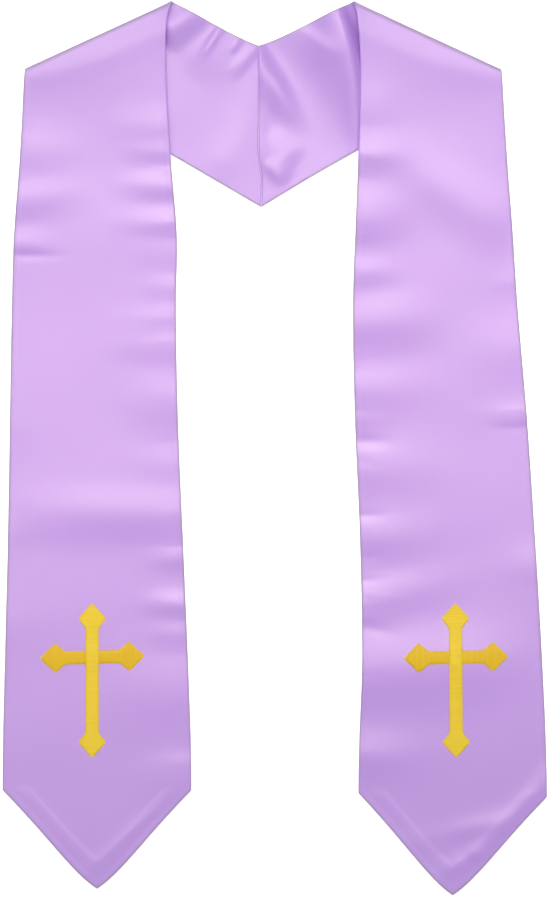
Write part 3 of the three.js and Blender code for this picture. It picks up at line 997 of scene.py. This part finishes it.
@dataclass
class Cross:
    """A cross of two padded satin-stitch bars, the upright worked over the arms."""

    strip: Strip
    length: float = 135.0
    span: float = 91.0
    crossing: float = 47.0
    bar: float = 5.85
    head_at: float = 12.9
    head_length: float = 21.5
    upright_head: float = 12.4
    arm_head: float = 13.3
    rounding: float = 1.3
    pitch: float = 0.42
    thread_rows: int = 4
    across_steps: int = 13
    pad: float = 1.05
    thread_rise: float = 0.13
    clearance: float = 0.12
    ragged: float = 0.22
    slanting: float = 0.05
    uneven: float = 0.035
    bridge: tuple[float, float] = (5.2, 14.0)

    def half_width(self, s: Array, length: float, head: float) -> Array:
        """Half width along a bar: pointed heads on an even stem, with the corners averaged off."""
        e = np.minimum(s, length - s)
        at, half = [0.0, self.head_at, self.head_length], [0.9, head, self.bar]
        spread = np.linspace(-self.rounding, self.rounding, 5)
        return np.mean([np.interp(e + step, at, half) for step in spread], axis=0)

    def stitched_bar(
        self,
        name: str,
        start: Array,
        end: Array,
        head: float,
        lift_of: Callable[[Array], Array],
        seed: int,
    ) -> bpy.types.Object:
        """Satin stitch across a bar, as one closed form with a ridge for every thread.

        Formula: each thread is a round ridge across the bar. Its height is a flat dome over the
        padding, which turns down into the cloth at both edges, and its ends, slant and height
        differ a little from thread to thread.

        Args:
            name: The object's name.
            start: The first tip on the plan, as x and distance down.
            end: The second tip.
            head: Half the width of the pointed heads.
            lift_of: How far the bar is lifted at a distance from its first tip.
            seed: Fixes the unevenness.

        Returns:
            The linked object.
        """
        rng = np.random.default_rng(seed)
        length = float(np.linalg.norm(end - start))
        along = (end - start) / length
        across = np.array([-along[1], along[0]])
        count = int(length / self.pitch)
        phase = np.linspace(-0.5, 0.5, self.thread_rows, endpoint=False) + 0.5 / self.thread_rows
        thread = np.repeat(np.arange(count), self.thread_rows)
        phases = np.tile(phase, count)
        s = (thread + 0.5 + phases) * length / count
        q = np.sin(np.linspace(-np.pi / 2.0, np.pi / 2.0, self.across_steps))
        ends = rng.uniform(-self.ragged, self.ragged, (2, count))[:, thread]
        slant = rng.normal(0.0, self.slanting, count)[thread]
        proud = rng.normal(1.0, self.uneven, count)[thread]
        half = self.half_width(s, length, head)
        reach = half[:, None] + np.where(q < 0, ends[0][:, None], ends[1][:, None])
        side = q[None, :] * np.maximum(reach, 0.25)
        forward = s[:, None] + slant[:, None] * q[None, :]
        plan = start + forward[..., None] * along + side[..., None] * across
        round_thread = np.sqrt(np.maximum(0.0, 1.0 - (2.0 * phases) ** 2 * 0.9))
        dome = np.sqrt(np.maximum(0.0, 1.0 - np.abs(q) ** 2.6))
        thickness = np.minimum(self.pad, 0.25 + half * 0.16)[:, None] * proud[:, None]
        top = dome[None, :] * (thickness + self.thread_rise * round_thread[:, None]) + 0.05
        cloth = self.strip.front_height(plan) + SATIN_STACK
        base = cloth + self.clearance + lift_of(s)[:, None]
        xy = [plan[..., 0], HALF_LENGTH - plan[..., 1]]
        lower = np.stack([*xy, base], -1)
        upper = np.stack([*xy, base + top], -1)
        uv = np.stack([side, forward], -1) * MM
        shade = np.broadcast_to(rng.uniform(0.0, 1.0, count)[thread][:, None], side.shape)
        # painted shade where neighbouring threads meet, strongest at each thread's sides
        groove_shade = np.broadcast_to((np.abs(2.0 * phases) ** 3)[:, None], side.shape)
        made = add_shell(name, lower, upper, uv, {"stitch": shade, "groove_shade": groove_shade}, True)
        return made

    def build(self, arms: bpy.types.Material, upright: bpy.types.Material) -> None:
        """Make the arms, then the upright over them."""
        sizes = self.strip.sizes
        place = sizes.cross
        centre = sizes.side * place.out
        tip = np.array([centre - sizes.side * place.lean, place.top])
        foot = np.array([centre + sizes.side * place.lean, place.top + self.length])
        arm_down = place.top + self.crossing
        left = np.array([centre - self.span / 2.0, arm_down + place.tilt])
        right = np.array([centre + self.span / 2.0, arm_down - place.tilt])

        def lying(s: Array) -> Array:
            """The arms lie on the cloth."""
            return np.zeros_like(s)

        def bridging(s: Array) -> Array:
            """The upright climbs over the arms where it crosses them."""
            return (self.pad + 0.1) * (1.0 - smoothstep(np.abs(s - self.crossing), *self.bridge))

        seed = sizes.pucker_seed
        arms_made = self.stitched_bar(
            f"{sizes.name}_cross_arms_stitched", left, right, self.arm_head, lying, seed + 1
        )
        upright_made = self.stitched_bar(
            f"{sizes.name}_cross_upright_stitched", tip, foot, self.upright_head, bridging, seed + 2
        )
        for made, node, slot, finish in (
            (arms_made, "cross_bar", "gold_arms", arms),
            (upright_made, "cross_upright", "gold_upright", upright),
        ):
            made.data.materials.append(finish)
            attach(made, "root")
            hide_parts(f"{sizes.name}_{node}")
            LOG.info("%s: %d faces", made.name, len(made.data.polygons))


# ------------------------------------------------------------------ the studio


@dataclass
class Studio:
    """The pale surface, the lights and the camera."""

    floor_half: float = 3.0
    floor_drop: float = 0.0004
    camera_height: float = 4.0
    frame_height: float = 0.7935
    frame_centre: tuple[float, float] = (0.00044, -0.00088)
    sensor: float = 36.0

    def floor(self) -> None:
        """A wide level sheet just under the stole."""
        side = np.array([-self.floor_half, self.floor_half]) / MM
        x, y = np.meshgrid(side, side, indexing="ij")
        points = np.stack([x, y, np.full_like(x, -self.floor_drop / MM)], -1).reshape(-1, 3)
        quads = grid_quads(2, 2, 0, False)
        floor = add_mesh("floor", points, quads, points[:, :2] * MM, {})
        floor.data.materials.append(PaperFinish().make())

    def lamp(
        self,
        name: str,
        size: tuple[float, float],
        at: tuple[float, float, float],
        power: float,
        colour: tuple[float, float, float],
        spread: float = 180.0,
        aim_y: float = 0.0,
    ) -> None:
        """A soft rectangular lamp that faces the stole's middle line.

        Args:
            name: The lamp's name.
            size: Its two sides, in metres.
            at: Where it stands.
            power: Its power in watts.
            colour: Its colour.
            spread: The angle that its grid lets through, in degrees.
            aim_y: Where on the stole's middle line it is aimed.
        """
        light = bpy.data.lights.new(name, "AREA")
        light.shape = "RECTANGLE"
        light.size, light.size_y = size
        light.energy = power
        light.color = colour
        light.spread = np.radians(spread)
        lamp = bpy.data.objects.new(name, light)
        lamp.location = at
        aim = np.array([0.0, aim_y, 0.0]) - at
        aim /= np.linalg.norm(aim)
        yaw = np.arctan2(-aim[0], aim[1])
        pitch = np.arccos(-aim[2])
        lamp.rotation_euler = (pitch, 0.0, yaw)
        bpy.context.collection.objects.link(lamp)

    def lights(self) -> None:
        """A broad lamp beyond the neck, a narrow one high over it for gloss, and a pale room."""
        self.lamp("fill", (2.2, 1.4), (0.1, 1.0, 1.85), 8.6, (0.9, 0.68, 1.0))
        self.lamp("top", (1.8, 0.3), (-0.15, 1.6, 4.0), 1.85, (1.0, 0.9, 0.66), 20.0, 0.05)
        world = bpy.data.worlds.new("room")
        world.use_nodes = True
        background = world.node_tree.nodes["Background"]
        background.inputs["Color"].default_value = (0.93, 1.0, 0.98, 1.0)
        background.inputs["Strength"].default_value = 0.625
        bpy.context.scene.world = world

    def camera(self) -> None:
        """Straight above, with the stole's length up the frame."""
        data = bpy.data.cameras.new("camera")
        data.sensor_fit = "VERTICAL"
        data.sensor_height = self.sensor
        data.lens = self.camera_height * self.sensor / self.frame_height
        camera = bpy.data.objects.new("camera", data)
        camera.location = (*self.frame_centre, self.camera_height)
        bpy.context.collection.objects.link(camera)
        bpy.context.scene.camera = camera

    def build(self) -> None:
        """Set up the whole studio."""
        self.camera()
        self.floor()
        self.lights()
        bpy.context.scene.view_settings.view_transform = "Standard"


def main() -> None:
    """Build the stole and its studio, and report each piece."""
    logging.basicConfig(level=logging.INFO, format="%(name)s: %(message)s")
    Studio().build()
    satin = SatinFinish().make()
    # The two golds are one thread's colour: the arms' deeper copy holds painted shade and the upright's
    # lighter copy painted light, for stitches that catch the light less and more.
    arms = ThreadFinish("gold_arms", (0.87, 0.57, 0.017), (0.75, 0.45, 0.009)).make()
    upright = ThreadFinish("gold_upright", (0.94, 0.69, 0.038), (0.84, 0.57, 0.02)).make()
    for sizes in (LEFT, RIGHT):
        strip = Strip(sizes)
        strip.build(satin)
        Cross(strip).build(arms, upright)


if __name__ == "__main__":
    main()
